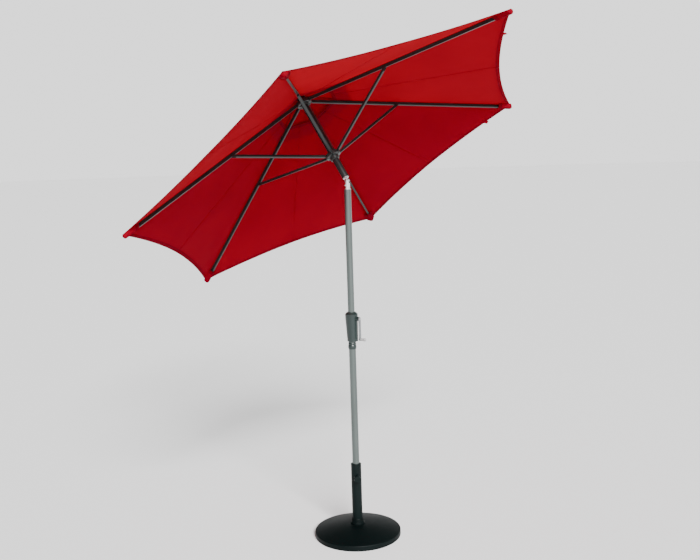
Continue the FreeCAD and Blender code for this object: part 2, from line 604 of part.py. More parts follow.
strut_width = "rib_width + 2 * slide_gap + 2 * fork_plate"
fork_start = 30
fork_plates = []
for side in (-1, 1):
    inner_face = f"{side} * (rib_width / 2 + slide_gap + fork_plate / 2)"
    name = f"fork_{side + 1}"
    fork_plates.append(block(name, 0, inner_face, 0, fork_start + 6, "fork_plate", "strut_deep"))
    fork_plates.append(rod(name + "_round", "strut_deep / 2", f"{inner_face} - fork_plate / 2",
                           "fork_plate"))
    fork_plates.append(rod(name + "_head", "rivet_head",
                           f"{side} * ({strut_width}) / 2 - 0.6", 1.2))
strut_bar = cut("strut_bar", block("strut_outer", fork_start, 0, 0,
                                   f"joint_reach - bar_start - {fork_start}", strut_width,
                                   "strut_deep"),
                block("strut_inner", fork_start - 1, 0, 0,
                      f"joint_reach - bar_start - {fork_start} - 13",
                      f"{strut_width} - 2 * fork_plate", "strut_deep - 2 * bar_wall"))
strut_eye = fuse("strut_eye", block("strut_flat", "joint_reach - bar_start - 2", 0, 0,
                                    "bar_start + 2", "tongue_thick", "2 * tongue_round"),
                 rod("strut_round", "tongue_round", "-tongue_thick / 2", "tongue_thick",
                     x="joint_reach"))
strut = cut("strut", fuse("strut_body", strut_bar, *fork_plates, strut_eye,
                          rod("strut_rivet", "rivet_radius", f"-({strut_width}) / 2",
                              strut_width)),
            rod("strut_hole", "pivot_pin + arm_play", -20, 40, x="joint_reach"))

# ---------------------------------------------------------------- fabric

CLOTH_APEX = f"(hub_height + pivot_radius * tan({RIB_SLOPE}) + " \
             f"(rib_deep / 2 + cap_proud + fit_gap) / cos({RIB_SLOPE}) + " \
             f"(rib_width / 2 + cap_proud) * tan(half_pitch) * tan({RIB_SLOPE}))"
CLOTH_TOP = f"({CLOTH_APEX} + cloth_thick)"


def pyramid(name, apex, slope, radius):
    """A six-sided pyramid with its corners over the ribs, from its apex down to a radius."""
    foot = doc.addObject("Part::RegularPolygon", name + "_foot")
    foot.setExpression("Polygon", cells("rib_count"))
    foot.setExpression("Circumradius", cells(radius))
    foot.Placement = at(z=f"{apex} - ({slope}) * ({radius})")
    peak = doc.addObject("Part::Vertex", name + "_peak")
    for prop, text in (("X", "0"), ("Y", "0"), ("Z", apex)):
        peak.setExpression(prop, cells(text))
    solid = doc.addObject("Part::Loft", name)
    solid.Sections, solid.Solid, solid.Ruled = [foot, peak], True, True
    return solid


cloth = cut("cloth", pyramid("cloth_upper", CLOTH_TOP, f"tan({RIB_SLOPE})", "tip_radius + 80"),
            pyramid("cloth_lower", CLOTH_APEX, f"tan({RIB_SLOPE})", "tip_radius + 80"))


def on_ray(radius, side):
    angle = "gore_half_angle"
    return (f"({radius}) * cos({angle})", f"{side} * ({radius}) * sin({angle})")


EDGE_TURN = "(half_pitch - gore_half_angle)"
vent_edge = f"vent_radius * cos(half_pitch) / cos({EDGE_TURN})"
chord_edge = f"tip_radius * cos(half_pitch) / cos({EDGE_TURN})"
wedge = plate("gore_wedge", "XY_Plane", [
    ("vent_radius", 0), on_ray(vent_edge, -1), on_ray(chord_edge, -1),
    ("tip_radius - 6", -8), ("tip_radius - 6", 8), on_ray(chord_edge, 1), on_ray(vent_edge, 1)],
    "4 * hub_height")
HEM_RADIUS = "((tip_radius * tip_radius / 4 + hem_depth * hem_depth) / (2 * hem_depth))"
HEM_CENTRE = f"(tip_radius * cos(half_pitch) - hem_depth + {HEM_RADIUS})"
hem_cuts = [cylinder(f"hem_cut_{side + 1}", HEM_RADIUS, 1600, at(
    f"{HEM_CENTRE} * cos(half_pitch)", f"{side} * {HEM_CENTRE} * sin(half_pitch)", -400))
    for side in (-1, 1)]
gore = cut("gore", common("gore_flat", cloth, wedge), *hem_cuts)

for step in steps:
    rib_frame = spoke(step) * at("pivot_radius", 0, "hub_height", (0, 1, 0), RIB_SLOPE)
    finish(f"rib_{step + 1}", rib, rib_frame)
    finish(f"rib_tip_{step + 1}", rib_cap, rib_frame)
    finish(f"strut_{step + 1}", strut, rib_frame * at("joint_reach", 0, 0, (0, 1, 0),
                                                      f"180 deg - 2 * {RIB_SLOPE}"))
    finish(f"gore_{step + 1}", gore, spoke(step))

vent_apex = f"({CLOTH_TOP} + vent_cap_gap + vent_cap_lift)"
vent_slope = f"(tan({RIB_SLOPE}) + vent_cap_lift / vent_cap_radius)"
finish("vent_cap", cut(
    "vent_cap", pyramid("vent_upper", f"{vent_apex} + cloth_thick", vent_slope, "vent_cap_radius"),
    pyramid("vent_lower", vent_apex, vent_slope, "vent_cap_radius"),
    cylinder("vent_hole", "finial_stud + 1", 200, at(z="hub_height"))), spoke(0))

finial_seat = f"({vent_apex} + cloth_thick)"
finish("finial", turned("finial_form", [
    ("finial_stud + run_gap", f"{finial_seat} - finial_stud * {vent_slope} + 1"),
    ("finial_radius - 3", f"{finial_seat} - (finial_radius - 3) * 0.86 * {vent_slope} + 0.6"),
    ("finial_radius", f"{finial_seat}"), ("finial_radius - 1", f"{finial_seat} + 5"),
    ("finial_radius - 6", f"{finial_seat} + 11"), ("finial_radius - 8", f"{finial_seat} + 16"),
    ("finial_radius - 5", f"{finial_seat} + 22"),
    ("finial_radius - 6", f"{finial_seat} + 30"),
    ("finial_radius - 11", f"{finial_seat} + finial_height - 5"),
    (0, f"{finial_seat} + finial_height"), (0, "hub_height + hub_half + 63"),
    ("finial_stud + run_gap", "hub_height + hub_half + 63")]), tilt_frame)

# ---------------------------------------------------------------- lift cord


def cord(label, runs, where):
    """A round cord along a wire of straight runs and tangent arcs."""
    path = Part.Wire(runs)
    first = runs[0]
    start = first.valueAt(first.FirstParameter)
    normal = first.tangentAt(first.FirstParameter)
    ring = Part.Wire(Part.makeCircle(value("cord_radius"), start, normal))
    feature = doc.addObject("Part::Feature", label + "_cord")
    feature.Shape = path.makePipeShell([ring], True, False)
    finish(label, feature, where)


drum_side = spot(0, "drum_radius + cord_radius + 0.2", "crank_height")
cord("lift_cord_mast", [Part.LineSegment(drum_side, spot(6, 0, "tilt_height - 3")).toShape()], at())

turn = Placement(Vector(), Rotation(Vector(0, 0, 1), value(cord_turn)))
inner_end = spot("cord_inner", 0, pulley_height)
outer_end = spot(CORD_OUTER, 0, pulley_height)
over = spot(pulley_centre, 0, f"{pulley_height} + {pulley_groove}")
yoke_end = turn.inverse() * spot(6, 0, "pole_start")
below = Vector(inner_end.x, 0, value("hub_height - 60"))
cord("lift_cord_pole", [
    Part.LineSegment(yoke_end, below).toShape(), Part.LineSegment(below, inner_end).toShape(),
    Part.Arc(inner_end, over, outer_end).toShape(),
    Part.LineSegment(outer_end, spot(CORD_OUTER, 0, "hub_height - hub_half")).toShape()],
    cord_frame)
cord("lift_cord_fall", [Part.LineSegment(
    spot(CORD_OUTER, 0, "hub_height - hub_half"),
    spot(CORD_OUTER, 0, f"{RUNNER_HEIGHT} + collar_up")).toShape()], cord_frame)

# ---------------------------------------------------------------- check and export

doc.recompute()
for thing in doc.Objects:
    if "Invalid" in thing.State or "Error" in thing.State:
        raise RuntimeError(f"{thing.Name} failed to build: {thing.State}")
for label, piece in pieces.items():
    if piece.Shape.isNull() or not piece.Shape.isValid():
        raise RuntimeError(f"{label} has no valid shape")
    piece.Shape.exportStep(f"parts/{label}.step")
print(len(pieces), "pieces written")
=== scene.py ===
import json
import math

import bpy
import numpy as np
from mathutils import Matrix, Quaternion, Vector


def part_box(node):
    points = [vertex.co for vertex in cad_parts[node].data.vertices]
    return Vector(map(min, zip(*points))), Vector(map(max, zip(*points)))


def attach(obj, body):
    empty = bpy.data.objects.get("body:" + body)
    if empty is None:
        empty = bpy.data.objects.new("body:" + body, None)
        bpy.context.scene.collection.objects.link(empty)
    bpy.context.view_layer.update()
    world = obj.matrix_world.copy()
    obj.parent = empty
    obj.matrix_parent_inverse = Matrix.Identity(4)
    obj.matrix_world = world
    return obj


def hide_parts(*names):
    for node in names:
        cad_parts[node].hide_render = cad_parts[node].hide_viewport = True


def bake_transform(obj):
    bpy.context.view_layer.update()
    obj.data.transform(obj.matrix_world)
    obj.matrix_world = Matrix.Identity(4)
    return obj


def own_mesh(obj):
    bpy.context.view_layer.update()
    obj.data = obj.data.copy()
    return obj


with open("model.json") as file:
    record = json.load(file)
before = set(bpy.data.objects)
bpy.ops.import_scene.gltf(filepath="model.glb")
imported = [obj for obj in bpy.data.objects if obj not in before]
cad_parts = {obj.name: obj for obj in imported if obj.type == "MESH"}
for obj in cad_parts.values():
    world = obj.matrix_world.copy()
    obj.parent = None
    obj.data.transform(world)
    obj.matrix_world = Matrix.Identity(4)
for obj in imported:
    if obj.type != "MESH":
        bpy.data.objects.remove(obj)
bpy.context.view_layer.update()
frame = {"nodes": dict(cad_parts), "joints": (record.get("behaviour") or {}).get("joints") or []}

# ------------------------------------------------------------------ studio and camera
# A pale seamless floor under one wide soft lamp, high in front and to the right, which shines
# through the raised side of the cloth.  The walls glow low down and light the object less from the
# left, but the camera sees them evenly pale.

LENS, SENSOR = 46.23, 36
CAMERA_PLACE = (2.920, -3.736, 2.015)
CAMERA_ANGLES = (-38.03, -7.25, -1.77)
camera_data = bpy.data.cameras.new("camera")
camera_data.sensor_width = SENSOR
camera_data.lens = LENS
camera = bpy.data.objects.new("camera", camera_data)
bpy.context.scene.collection.objects.link(camera)
camera.location = CAMERA_PLACE
heading, climb, lean = (math.radians(angle) for angle in CAMERA_ANGLES)
facing = Vector((math.cos(climb) * math.sin(heading), math.cos(climb) * math.cos(heading),
                 math.sin(climb)))
camera.rotation_mode = "QUATERNION"
camera.rotation_quaternion = facing.to_track_quat("-Z", "Y") @ Quaternion((0, 0, 1), lean)
bpy.context.scene.camera = camera

LAMP_FROM = Vector((0.70, -0.48, 0.56))
LAMP_STRENGTH, LAMP_SPREAD = 9.8, math.radians(24)
lamp = bpy.data.lights.new("lamp", "SUN")
lamp.energy, lamp.angle = LAMP_STRENGTH, LAMP_SPREAD
lamp_holder = bpy.data.objects.new("lamp", lamp)
bpy.context.scene.collection.objects.link(lamp_holder)
lamp_holder.rotation_euler = (-LAMP_FROM).to_track_quat("-Z", "Y").to_euler()

WALL_TO_CEILING = {"From Min": 0.15, "From Max": 0.42, "To Min": 1.8, "To Max": 0.12}
LEFT_TO_RIGHT = {"From Min": -0.75, "From Max": -0.15, "To Min": 0.10, "To Max": 1.0}
PALE_BACKGROUND = 1.7
world = bpy.data.worlds.new("studio")
bpy.context.scene.world = world
world.use_nodes = True
walls, wall_link = world.node_tree.nodes, world.node_tree.links.new


def fade(settings, source):
    """A smooth change of the walls' glow from one strength to another."""
    node = walls.new("ShaderNodeMapRange")
    node.interpolation_type = "SMOOTHSTEP"
    for word, number in settings.items():
        node.inputs[word].default_value = number
    wall_link(source, node.inputs["Value"])
    return node.outputs["Result"]


ray = walls.new("ShaderNodeTexCoord")
ray_parts = walls.new("ShaderNodeSeparateXYZ")
wall_link(ray.outputs["Generated"], ray_parts.inputs["Vector"])
across_studio = walls.new("ShaderNodeVectorMath")
across_studio.operation = "DOT_PRODUCT"
across_studio.inputs[1].default_value = (math.cos(heading), -math.sin(heading), 0)
wall_link(ray.outputs["Generated"], across_studio.inputs[0])
both_fades = walls.new("ShaderNodeMath")
both_fades.operation = "MULTIPLY"
wall_link(fade(WALL_TO_CEILING, ray_parts.outputs["Z"]), both_fades.inputs[0])
wall_link(fade(LEFT_TO_RIGHT, across_studio.outputs["Value"]), both_fades.inputs[1])
seen = walls.new("ShaderNodeLightPath")
pale_where_seen = walls.new("ShaderNodeMapRange")
wall_link(seen.outputs["Is Camera Ray"], pale_where_seen.inputs["Value"])
wall_link(both_fades.outputs["Value"], pale_where_seen.inputs["To Min"])
pale_where_seen.inputs["To Max"].default_value = PALE_BACKGROUND
wall_link(pale_where_seen.outputs["Result"], walls["Background"].inputs["Strength"])
walls["Background"].inputs["Color"].default_value = (1, 1, 1, 1)


def new_mesh(name, points, faces):
    """A smooth object of its own from points and faces, linked into the scene."""
    mesh = bpy.data.meshes.new(name)
    mesh.from_pydata([tuple(point) for point in points], [], [tuple(face) for face in faces])
    mesh.validate()
    mesh.shade_smooth()
    thing = bpy.data.objects.new(name, mesh)
    bpy.context.scene.collection.objects.link(thing)
    return thing


def surface_of(name, colour, roughness, metallic=0.0):
    """A new material, its node tree and its main shader, before any grain or cloth is added."""
    material = bpy.data.materials.new(name)
    material.use_nodes = True
    tree = material.node_tree
    shader = tree.nodes["Principled BSDF"]
    shader.inputs["Base Color"].default_value = (*colour, 1)
    shader.inputs["Roughness"].default_value = roughness
    shader.inputs["Metallic"].default_value = metallic
    return material, tree, shader


FLOOR_SIDE, FLOOR_GREY, FLOOR_ROUGH = 300, (0.86, 0.86, 0.86), 0.9
FLOOR_CORNERS = ((-1, -1), (1, -1), (1, 1), (-1, 1))
floor = new_mesh("floor", [(x * FLOOR_SIDE, y * FLOOR_SIDE, 0) for x, y in FLOOR_CORNERS],
                 [(0, 1, 2, 3)])
floor.data.materials.append(surface_of("pale_floor", FLOOR_GREY, FLOOR_ROUGH)[0])

# ------------------------------------------------------------------ base shell
# A low domed shell moulded in black resin with a fine hammered grain.  It covers the ballast, its
# rim turns down to the floor, and the socket tube comes up through the hole in its crown.

DARK_STOP, LIGHT_STOP, GLOSSIEST = 0.3, 0.72, 0.02
CLOUD_DETAIL, GRAIN_DETAIL, BUMP_STRENGTH = 4, 2, 0.6


def grained(name, colour, roughness, metallic=0.0, grain=220.0, depth=0.0004, patch=9.0,
            spread=0.16, stretch=(1, 1, 1), shine=0.5, coat=0.0):
    """A paint, plastic or metal: cloudy colour and gloss, over a fine raised grain."""
    material, tree, shader = surface_of(name, colour, roughness, metallic)
    shader.inputs["Specular IOR Level"].default_value = shine
    shader.inputs["Coat Weight"].default_value = coat
    make, link = tree.nodes.new, tree.links.new
    place = make("ShaderNodeTexCoord")
    scale = make("ShaderNodeMapping")
    scale.inputs["Scale"].default_value = stretch
    link(place.outputs["Object"], scale.inputs["Vector"])
    cloud = make("ShaderNodeTexNoise")
    cloud.inputs["Scale"].default_value = patch
    cloud.inputs["Detail"].default_value = CLOUD_DETAIL
    link(scale.outputs["Vector"], cloud.inputs["Vector"])
    shades = make("ShaderNodeValToRGB")
    darkest, lightest = shades.color_ramp.elements
    for stop, position, factor in ((darkest, DARK_STOP, 1 - spread),
                                   (lightest, LIGHT_STOP, 1 + spread)):
        stop.position = position
        stop.color = (*(min(1, part * factor) for part in colour), 1)
    link(cloud.outputs["Fac"], shades.inputs["Fac"])
    link(shades.outputs["Color"], shader.inputs["Base Color"])
    gloss = make("ShaderNodeMapRange")
    gloss.inputs["To Min"].default_value = max(GLOSSIEST, roughness - spread / 2)
    gloss.inputs["To Max"].default_value = min(1, roughness + spread / 2)
    link(cloud.outputs["Fac"], gloss.inputs["Value"])
    link(gloss.outputs["Result"], shader.inputs["Roughness"])
    fine = make("ShaderNodeTexNoise")
    fine.inputs["Scale"].default_value = grain
    fine.inputs["Detail"].default_value = GRAIN_DETAIL
    link(scale.outputs["Vector"], fine.inputs["Vector"])
    bump = make("ShaderNodeBump")
    bump.inputs["Distance"].default_value = depth
    bump.inputs["Strength"].default_value = BUMP_STRENGTH
    link(fine.outputs["Fac"], bump.inputs["Height"])
    link(bump.outputs["Normal"], shader.inputs["Normal"])
    return material


def lathe(name, profile, sides=128, crease=math.radians(40)):
    """A hollow turned form about the mast's axis, from a closed loop of (radius, height) points."""
    points, faces = [], []
    rows = len(profile)
    for turn in range(sides):
        angle = 2 * math.pi * turn / sides
        points += [(radius * math.cos(angle), radius * math.sin(angle), height)
                   for radius, height in profile]
        after = (turn + 1) % sides
        faces += [(turn * rows + row, after * rows + row, after * rows + (row + 1) % rows,
                   turn * rows + (row + 1) % rows) for row in range(rows)]
    thing = new_mesh(name, points, faces)
    thing.data.set_sharp_from_angle(angle=crease)
    return thing


black_resin = grained("black_resin", (0.001, 0.003, 0.003), 0.5, grain=420, depth=0.0006,
                      patch=7, shine=0.08)

CROWN_RADIUS, TUBE_HOLE, SHELL_WALL, SHELL_INSET = 0.046, 0.0283, 0.003, 0.001
RIM_HEIGHT, RIM_ROUND, RIM_STEP = 0.031, 0.006, 15
FLOOR_GAP, FOOT_BEVEL = 0.001, 0.002
DOME_STEPS, DOME_FULLNESS = 24, 1.5
shell_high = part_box("base_shell")[1]
shell_radius, shell_top = shell_high[0] - SHELL_INSET, shell_high[2]
dome = []
for step in range(DOME_STEPS + 1):
    share = step / DOME_STEPS
    radius = shell_radius - RIM_ROUND + (CROWN_RADIUS - shell_radius + RIM_ROUND) * share
    rise = 1 - (1 - share) ** DOME_FULLNESS
    dome.append((radius, RIM_HEIGHT + (shell_top - RIM_HEIGHT) * rise))
rim = [(shell_radius - RIM_ROUND * (1 - math.cos(math.radians(angle))),
        RIM_HEIGHT - RIM_ROUND * (1 - math.sin(math.radians(angle))))
       for angle in range(0, 90, RIM_STEP)]
foot = [(shell_radius - FOOT_BEVEL, FLOOR_GAP), (shell_radius, FLOOR_GAP + FOOT_BEVEL)]
hole = [(TUBE_HOLE, shell_top), (TUBE_HOLE, shell_top - SHELL_WALL)]
inside = [(max(TUBE_HOLE, radius - SHELL_WALL), max(FLOOR_GAP, height - SHELL_WALL))
          for radius, height in reversed(dome)]
inside.append((shell_radius - RIM_ROUND - SHELL_WALL, FLOOR_GAP))
base_cover = lathe("base_cover", foot + rim + dome + hole + inside)
base_cover.data.materials.append(black_resin)
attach(base_cover, "base")
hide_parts("base_shell")

# ------------------------------------------------------------------ ballast and floor pad
# Concrete cast inside the shell gives the base its weight.  A rubber pad under it keeps the
# concrete off the floor.

nodes = frame["nodes"]


def dress(material, *names):
    """Gives CAD pieces a finish."""
    for name in names:
        mesh = nodes[name].data
        if not mesh.materials:
            mesh.materials.append(material)
        for place in range(len(mesh.materials)):
            mesh.materials[place] = material


cast_concrete = grained("cast_concrete", (0.42, 0.41, 0.39), 0.9, grain=160, depth=0.002, patch=20)
black_rubber = grained("black_rubber", (0.02, 0.02, 0.02), 0.8, grain=500, depth=0.0003)
dress(cast_concrete, "base_ballast")
dress(black_rubber, "base_pad")

# ------------------------------------------------------------------ socket tube and clamp
# A steel tube, powder-coated black and cast into the ballast, with a nut welded on its side for
# the clamp knob's screw.  The knob, the collar at the tube's foot and the two bushes that centre
# the mast are black mouldings.

black_powder = grained("black_powder_coat", (0.001, 0.004, 0.004), 0.45, grain=900, depth=0.0002,
                       patch=14, shine=0.12)
dress(black_powder, "base_tube", "clamp_nut", "tube_bushes", "clamp_knob")
dress(black_resin, "tube_skirt")

# ------------------------------------------------------------------ mast
# Two round steel tubes in a grey metallic powder coat that shows long faint streaks.  They meet
# in a moulded joining sleeve.

grey_paint = grained("grey_metallic_paint", (0.11, 0.13, 0.125), 0.30, metallic=0.8, grain=600,
                     depth=0.0001, patch=5, stretch=(6, 6, 0.4), coat=0.15)
case_grey = grained("case_plastic", (0.008, 0.016, 0.015), 0.34, grain=700, depth=0.0002)
dress(grey_paint, "lower_mast", "middle_mast")
dress(case_grey, "mast_sleeve")

# ------------------------------------------------------------------ crank
# A moulded case in two halves, screwed round the mast.  A zinc-plated shaft runs in nylon
# bushes and carries the nylon cord drum.  An aluminium arm with a turning grip is pressed on it.

zinc = grained("zinc_plate", (0.62, 0.63, 0.64), 0.3, metallic=1.0, grain=500, patch=60)
satin = grained("satin_alloy", (0.26, 0.27, 0.28), 0.35, metallic=0.8, grain=500, patch=40)
nylon = grained("white_nylon", (0.8, 0.8, 0.77), 0.4, grain=500)
grip_grey = grained("grip_plastic", (0.30, 0.30, 0.30), 0.4, grain=500)
dress(case_grey, "housing_front", "housing_rear")
dress(zinc, "housing_screws", "crank_shaft")
dress(nylon, "shaft_bushes", "cord_drum")
dress(satin, "crank_arm")
dress(grip_grey, "crank_knob")

# ------------------------------------------------------------------ tilt joint
# A polished cast aluminium knuckle plugged into the mast, and a yoke like it plugged into the
# upper pole, hinged on one steel pin.  A sprung push button releases the joint.

bright = grained("polished_casting", (0.74, 0.75, 0.76), 0.24, metallic=0.9, grain=300,
                 depth=0.0002, patch=30, spread=0.08)
dress(bright, "tilt_knuckle", "tilt_yoke")
dress(zinc, "tilt_pin", "tilt_button")

# ------------------------------------------------------------------ button spring
# A small coil spring of zinc-plated wire behind the tilt button.  Its inner end seats in the
# knuckle and its outer end bears on the button; here it is one fixed mesh that does not move.

wound = nodes["button_spring"].data
button_coil = new_mesh("button_coil", [vertex.co for vertex in wound.vertices],
                       [face.vertices for face in wound.polygons])
button_coil.data.materials.append(zinc)
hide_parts("button_spring")
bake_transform(button_coil)

# ------------------------------------------------------------------ upper pole and hub
# A round steel tube in a dark powder coat, with a slotted hub moulded in black plastic on its
# end.  The ribs hang on the hub's pins, the cord turns over its pulley, the finial screws on top.

dark_paint = grained("dark_metallic_paint", (0.020, 0.025, 0.025), 0.34, metallic=0.4, grain=600,
                     depth=0.0001, patch=6)
black_plastic = grained("black_moulding", (0.012, 0.014, 0.014), 0.38, grain=700, depth=0.0002)
dress(dark_paint, "upper_pole")
dress(black_plastic, "hub", "finial")
dress(zinc, "hub_pins", "pulley_pin")
dress(nylon, "pulley")

# ------------------------------------------------------------------ runner, ribs and struts
# A moulded runner slides on the pole and pushes six forked struts, each riveted to a rib part way
# along it.  Ribs and struts are hollow steel bar in a dark powder coat, and the ribs end in
# moulded caps.

RIB_COUNT = 6
RIBS = range(1, RIB_COUNT + 1)
dress(black_plastic, "runner", *(f"rib_tip_{rib}" for rib in RIBS))
dress(zinc, "runner_pins")
dress(dark_paint, *(f"rib_{rib}" for rib in RIBS), *(f"strut_{rib}" for rib in RIBS))

# ------------------------------------------------------------------ canopy
# One sewn canopy of six panels, cut with hollowed hems and seamed along the ribs.  Each piece here
# is the cloth about one rib, out to the middle of the panels beside it, so it folds with that rib.

HALF_PANEL = math.pi / RIB_COUNT
HEM_HOLLOW, PANEL_SAG, HEM_WIDE = 0.058, 0.012, 0.018
PAST_RIB, NEAR_RIB = 0.006, 0.01
ROWS_OUT, COLUMNS_ASIDE = 40, 26
joints = {joint["name"]: joint for joint in frame["joints"]}
up_pole = -Vector(joints["runner_slide"]["axis"]).normalized()
hub_pivots = {rib: Vector(joints[f"rib_{rib}_fold"]["pos_m"]) for rib in RIBS}
hub_middle = sum(hub_pivots.values(), Vector()) / len(RIBS)
outward = {rib: (hub_pivots[rib] - hub_middle).normalized() for rib in RIBS}
sideways = {rib: up_pole.cross(outward[rib]) for rib in RIBS}
rib_line = Vector(joints["strut_1_fold"]["pos_m"]) - hub_pivots[1]
rib_slope = -rib_line.dot(up_pole) / rib_line.dot(outward[1])


def flat_place(rib, point):
    """A point's distance along a rib, sideways from it, and up the pole from the hub."""
    away = Vector(point) - hub_middle
    return away.dot(outward[rib]), away.dot(sideways[rib]), away.dot(up_pole)


def to_row(rib, along, across, height):
    """The point that lies at these distances from the hub."""
    return hub_middle + outward[rib] * along + sideways[rib] * across + up_pole * height


cloth_points = np.array([flat_place(1, vertex.co) for vertex in nodes["gore_1"].data.vertices])
cloth_reach = cloth_points[:, 0] * math.cos(HALF_PANEL) + \
    np.abs(cloth_points[:, 1]) * math.sin(HALF_PANEL)
cloth_peak = (cloth_points[:, 2] + cloth_reach * (rib_slope / math.cos(HALF_PANEL))).min()
tip_radius = cloth_points[:, 0].max() + PAST_RIB
vent_radius = cloth_points[:, 0][np.abs(cloth_points[:, 1]) < NEAR_RIB].min()
hem_curve = (tip_radius * tip_radius / 4 + HEM_HOLLOW ** 2) / (2 * HEM_HOLLOW)
hem_middle = tip_radius * math.cos(HALF_PANEL) - HEM_HOLLOW + hem_curve


def hem_at(angle):
    """How far the hollowed hem lies from the pole's axis at an angle from the rib."""
    far = hem_middle * math.cos(HALF_PANEL - angle)
    return far - math.sqrt(far * far - hem_middle ** 2 + hem_curve ** 2)


def straight_at(radius):
    """The same for a straight edge whose corners on the ribs lie at this radius."""
    return lambda angle: radius * math.cos(HALF_PANEL) / math.cos(HALF_PANEL - angle)


def closed_sheet(name, lower, upper, crease=math.radians(50), **numbers):
    """A thin closed sheet between two grids of points, with a number for each on both faces."""
    columns, rows = len(lower), len(lower[0])
    points = [point for grid in (lower, upper) for column in grid for point in column]
    half = columns * rows
    faces = []
    for column in range(columns - 1):
        for row in range(rows - 1):
            corner = column * rows + row
            beside = corner + rows
            faces.append((corner, beside, beside + 1, corner + 1))
            faces.append((corner + half, corner + 1 + half, beside + 1 + half, beside + half))
    border = [column * rows for column in range(columns)]
    border += [(columns - 1) * rows + row for row in range(1, rows)]
    border += [column * rows + rows - 1 for column in range(columns - 2, -1, -1)]
    border += list(range(rows - 2, 0, -1))
    for here, there in zip(border, border[1:] + border[:1]):
        faces.append((there, here, here + half, there + half))
    thing = new_mesh(name, points, faces)
    thing.data.set_sharp_from_angle(angle=crease)
    for word, grid in numbers.items():
        layer = thing.data.attributes.new(word, "FLOAT", "POINT")
        both_faces = [number for column in grid for number in column] * 2
        layer.data.foreach_set("value", np.array(both_faces, np.float32))
    return thing


def cloth_under(along, across, peak, slope, sag):
    """Height up the pole of the cloth's underside, drawn in a little between the ribs."""
    reach = along * math.cos(HALF_PANEL) + abs(across) * math.sin(HALF_PANEL)
    turn = abs(math.atan2(across, along))
    middle = 1 - (math.tan(HALF_PANEL - min(turn, HALF_PANEL)) / math.tan(HALF_PANEL)) ** 2
    return peak - reach * slope / math.cos(HALF_PANEL) - sag * middle * along / tip_radius


CLOTH_THICK, HEM_THICK, SEAM_RISE, SEAM_WIDE = 0.0008, 0.0009, 0.0010, 0.006
HEM_END, FINER_AT_SEAM = 1.1, 1.3
LAP_INSET, LAP_AT_HEM, LAP_AT_VENT = 0.0002, 0.0030, 0.0046
LAP_LOW, LAP_HIGH = 0.0010, 0.0006


def cloth_piece(name, rib, inner, outer, peak, slope, sag, hem, rows, columns, lapped=False):
    """The cloth about a rib, from an inner edge to an outer one, doubled at both hems.

    A lapped piece has a narrow tongue on one side that runs on beneath the next piece, so that
    the panel stays closed as the ribs fold."""
    lower, upper, edge_gap, seam_gap, out_along = [], [], [], [], []
    stations = [(HALF_PANEL * math.copysign((abs(step) / columns) ** FINER_AT_SEAM, step),
                 0, 0, False) for step in range(-columns, columns + 1)]
    if lapped:
        stations[-1:] = [(HALF_PANEL, -2 * LAP_INSET, -2 * LAP_INSET, False),
                         (HALF_PANEL, -LAP_INSET, -LAP_INSET, True),
                         (HALF_PANEL, LAP_AT_VENT, LAP_AT_HEM, True)]
    for angle, past_vent, past_hem, tongue in stations:
        near, far = inner(abs(angle)), outer(abs(angle))
        length = far - near
        end = HEM_END * hem
        stops = [0, 0.5 * hem, hem, end]
        stops += [end + (length - 2 * end) * row / rows for row in range(1, rows)]
        stops += [length - end, length - hem, length - 0.5 * hem, length]
        column = []
        for stop in stops:
            past = past_vent + (past_hem - past_vent) * stop / length
            along = (near + stop) * math.cos(angle) - past * math.sin(angle)
            across = (near + stop) * math.sin(angle) + past * math.cos(angle)
            gap = min(stop, length - stop)
            height = cloth_under(along, across, peak, slope, sag)
            thick = CLOTH_THICK + (HEM_THICK if gap < 0.5 * (hem + end) else 0) + \
                SEAM_RISE * math.exp(-(across / SEAM_WIDE) ** 2)
            low, high = (-LAP_LOW, -LAP_HIGH) if tongue else (0, thick)
            column.append((to_row(rib, along, across, height + low),
                           to_row(rib, along, across, height + high), gap, abs(across), along))
        for grid, values in zip((lower, upper, edge_gap, seam_gap, out_along), zip(*column)):
            grid.append(list(values))
    return closed_sheet(name, lower, upper, edge_gap=edge_gap, seam_gap=seam_gap,
                        out_along=out_along)


CLOTH_ROUGH, CLOTH_SHINE, CLOTH_GLOW = 0.85, 0.06, 3.4
LIGHTEST, DARKEST = 1.08, 0.88
CLOTH_CLOUDS, CLOTH_CLOUD_DETAIL, THREADS = 3.5, 5, 900
# Doubled cloth at the hems and seams lets less light through, so those bands carry a painted shade;
# the stitch lines are darkened as well.
DOUBLED_HEM, DOUBLED_SEAM, DOUBLED_SHADE = 0.019, 0.007, 0.22
HEM_STITCHES, SEAM_STITCHES, STITCH_HALF, STITCH_DARKER = 0.016, 0.0045, 0.0007, 0.3
STITCH_PITCH, STITCH_GAP = 0.0022, 0.0014
PUCKER_TURNS, PUCKER_FADE, FADE_BASE = 240.0, -45.0, 2.718
PUCKER_SHARE, RELIEF_DEPTH = 1.2, 0.0005


